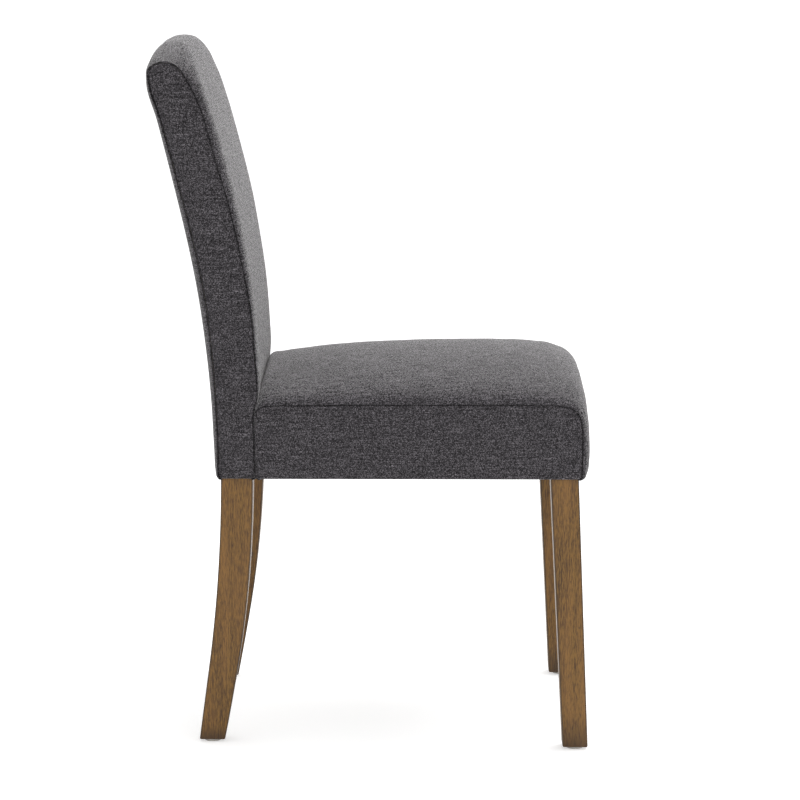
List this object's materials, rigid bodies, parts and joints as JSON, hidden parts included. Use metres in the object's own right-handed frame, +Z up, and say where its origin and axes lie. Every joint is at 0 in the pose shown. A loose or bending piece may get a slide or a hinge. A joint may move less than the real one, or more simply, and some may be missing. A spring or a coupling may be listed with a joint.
{
  "type": "parsons chair",
  "caption": "Armless dining chair with a padded boxed seat, a tall leaning padded back, fabric covers, tapered wooden legs and glides.",
  "frame": {"origin": "on the floor, under the middle of the chair's outer box", "axes": "+Z up, -Y towards the front of the seat, +X towards the left of a person who sits in the chair"},
  "size_m": [0.4696, 0.6128, 0.9761],
  "materials": {
    "upholstery": "woven, matt, dark heathered grey",
    "foam": "open-cell foam, matt cream",
    "leg_wood": "walnut stain under satin lacquer",
    "frame_wood": "plain sawn hardwood",
    "webbing": "woven elastic tape",
    "dust_cloth": "thin black spun cloth",
    "fastener_steel": "zinc plated",
    "glide": "smooth, off-white"
  },
  "bodies": {
    "root": {"back_cover": "upholstery", "back_foam_front": "foam", "back_foam_rear": "foam", "back_rail_low": "frame_wood", "back_rail_middle": "frame_wood", "back_rail_top": "frame_wood", "back_side_cover_left": "upholstery", "back_side_cover_right": "upholstery", "back_strap_1": "webbing", "back_strap_2": "webbing", "back_strap_3": "webbing", "dust_cover": "dust_cloth", "front_corner_block_left": "frame_wood", "front_corner_block_right": "frame_wood", "front_glide_left": "glide", "front_glide_right": "glide", "front_leg_left": "leg_wood", "front_leg_right": "leg_wood", "hanger_bolt_left": "fastener_steel", "hanger_bolt_right": "fastener_steel", "hanger_nut_left": "fastener_steel", "hanger_nut_right": "fastener_steel", "hanger_washer_left": "fastener_steel", "hanger_washer_right": "fastener_steel", "insert_nut_left_lower": "fastener_steel", "insert_nut_left_upper": "fastener_steel", "insert_nut_right_lower": "fastener_steel", "insert_nut_right_upper": "fastener_steel", "rear_corner_block_left": "frame_wood", "rear_corner_block_right": "frame_wood", "rear_glide_left": "glide", "rear_glide_right": "glide", "rear_leg_left": "leg_wood", "rear_leg_right": "leg_wood", "seat_bolt_left_lower": "fastener_steel", "seat_bolt_left_upper": "fastener_steel", "seat_bolt_right_lower": "fastener_steel", "seat_bolt_right_upper": "fastener_steel", "seat_bolt_washer_left_lower": "fastener_steel", "seat_bolt_washer_left_upper": "fastener_steel", "seat_bolt_washer_right_lower": "fastener_steel", "seat_bolt_washer_right_upper": "fastener_steel", "seat_cover": "upholstery", "seat_foam": "foam", "seat_front_padding": "foam", "seat_rail_front": "frame_wood", "seat_rail_left": "frame_wood", "seat_rail_rear": "frame_wood", "seat_rail_right": "frame_wood", "seat_side_cover_left": "upholstery", "seat_side_cover_right": "upholstery", "seat_side_padding_left": "foam", "seat_side_padding_right": "foam", "seat_strap_cross_1": "webbing", "seat_strap_cross_2": "webbing", "seat_strap_cross_3": "webbing", "seat_strap_cross_4": "webbing", "seat_strap_long_1": "webbing", "seat_strap_long_2": "webbing", "seat_strap_long_3": "webbing"}
  },
  "joints": []
}
